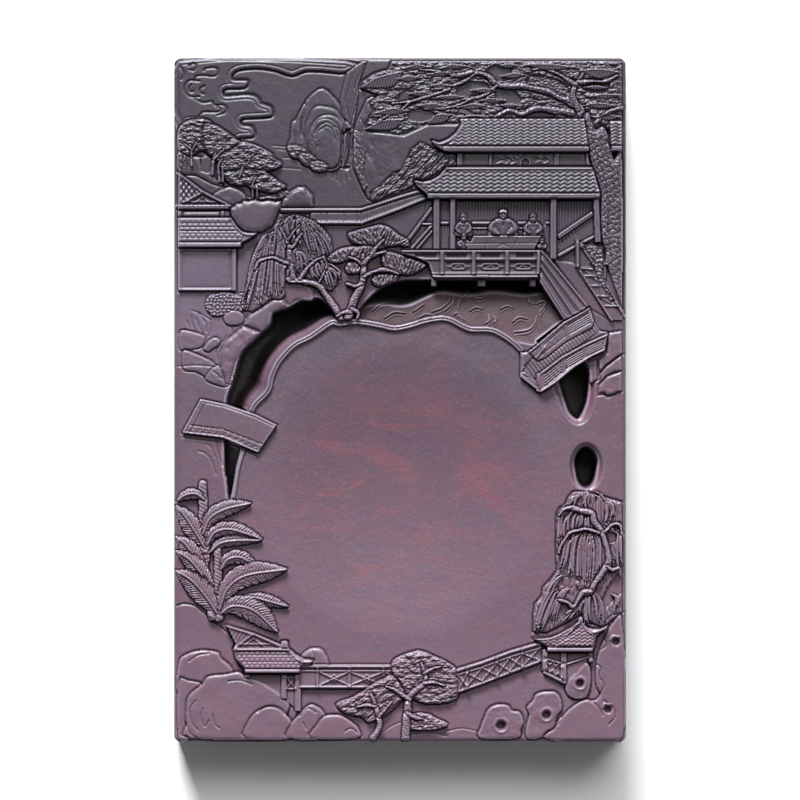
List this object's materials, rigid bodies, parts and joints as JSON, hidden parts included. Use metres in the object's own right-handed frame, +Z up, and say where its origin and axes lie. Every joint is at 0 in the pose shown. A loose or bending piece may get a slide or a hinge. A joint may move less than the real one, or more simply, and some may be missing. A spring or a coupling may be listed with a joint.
{
  "type": "landscape ink stone",
  "caption": "Rectangular ink stone with a round grinding bed, an ink pool under carved bridges and a landscape in relief; ink is ground in it with water",
  "frame": {"origin": "centre of the underside", "axes": "+Z up, +Y to the sky of the carved landscape, +X to its right"},
  "size_m": [0.198, 0.3, 0.04],
  "materials": {
    "stone": "honed, waxed"
  },
  "bodies": {
    "root": {"banana_leaves": "stone", "banana_stems": "stone", "bank_rocks": "stone", "bed_lip": "stone", "boulders": "stone", "bridge_deck": "stone", "bridge_parapets": "stone", "cloud_bank": "stone", "corner_bush": "stone", "drooping_tree_leaves": "stone", "drooping_tree_trunk": "stone", "far_peak": "stone", "gallery_wall": "stone", "garden_rocks": "stone", "great_pine_limbs": "stone", "great_pine_needles": "stone", "great_pine_trunk": "stone", "hall_back_wall": "stone", "hall_columns": "stone", "hall_lower_roof": "stone", "hall_rails": "stone", "hall_shrub": "stone", "hall_table": "stone", "hall_upper_roof": "stone", "hall_upper_wall": "stone", "hexagonal_posts": "stone", "hexagonal_roof": "stone", "horizon_rock": "stone", "left_house_gable": "stone", "left_house_roof": "stone", "left_house_wall": "stone", "left_slab_bridge": "stone", "lower_gallery": "stone", "lower_house_posts": "stone", "lower_house_roof": "stone", "lower_pine_needles": "stone", "lower_pine_trunk": "stone", "pine_grove": "stone", "pool_pine_needles": "stone", "pool_pine_trunk": "stone", "right_cliff": "stone", "round_rock": "stone", "scholars": "stone", "side_balustrade": "stone", "stair_rail": "stone", "stone_body": "stone", "terrace_balustrade": "stone", "terrace_posts": "stone", "waterfall": "stone", "willow_leaves": "stone", "willow_trunk": "stone"}
  },
  "joints": []
}
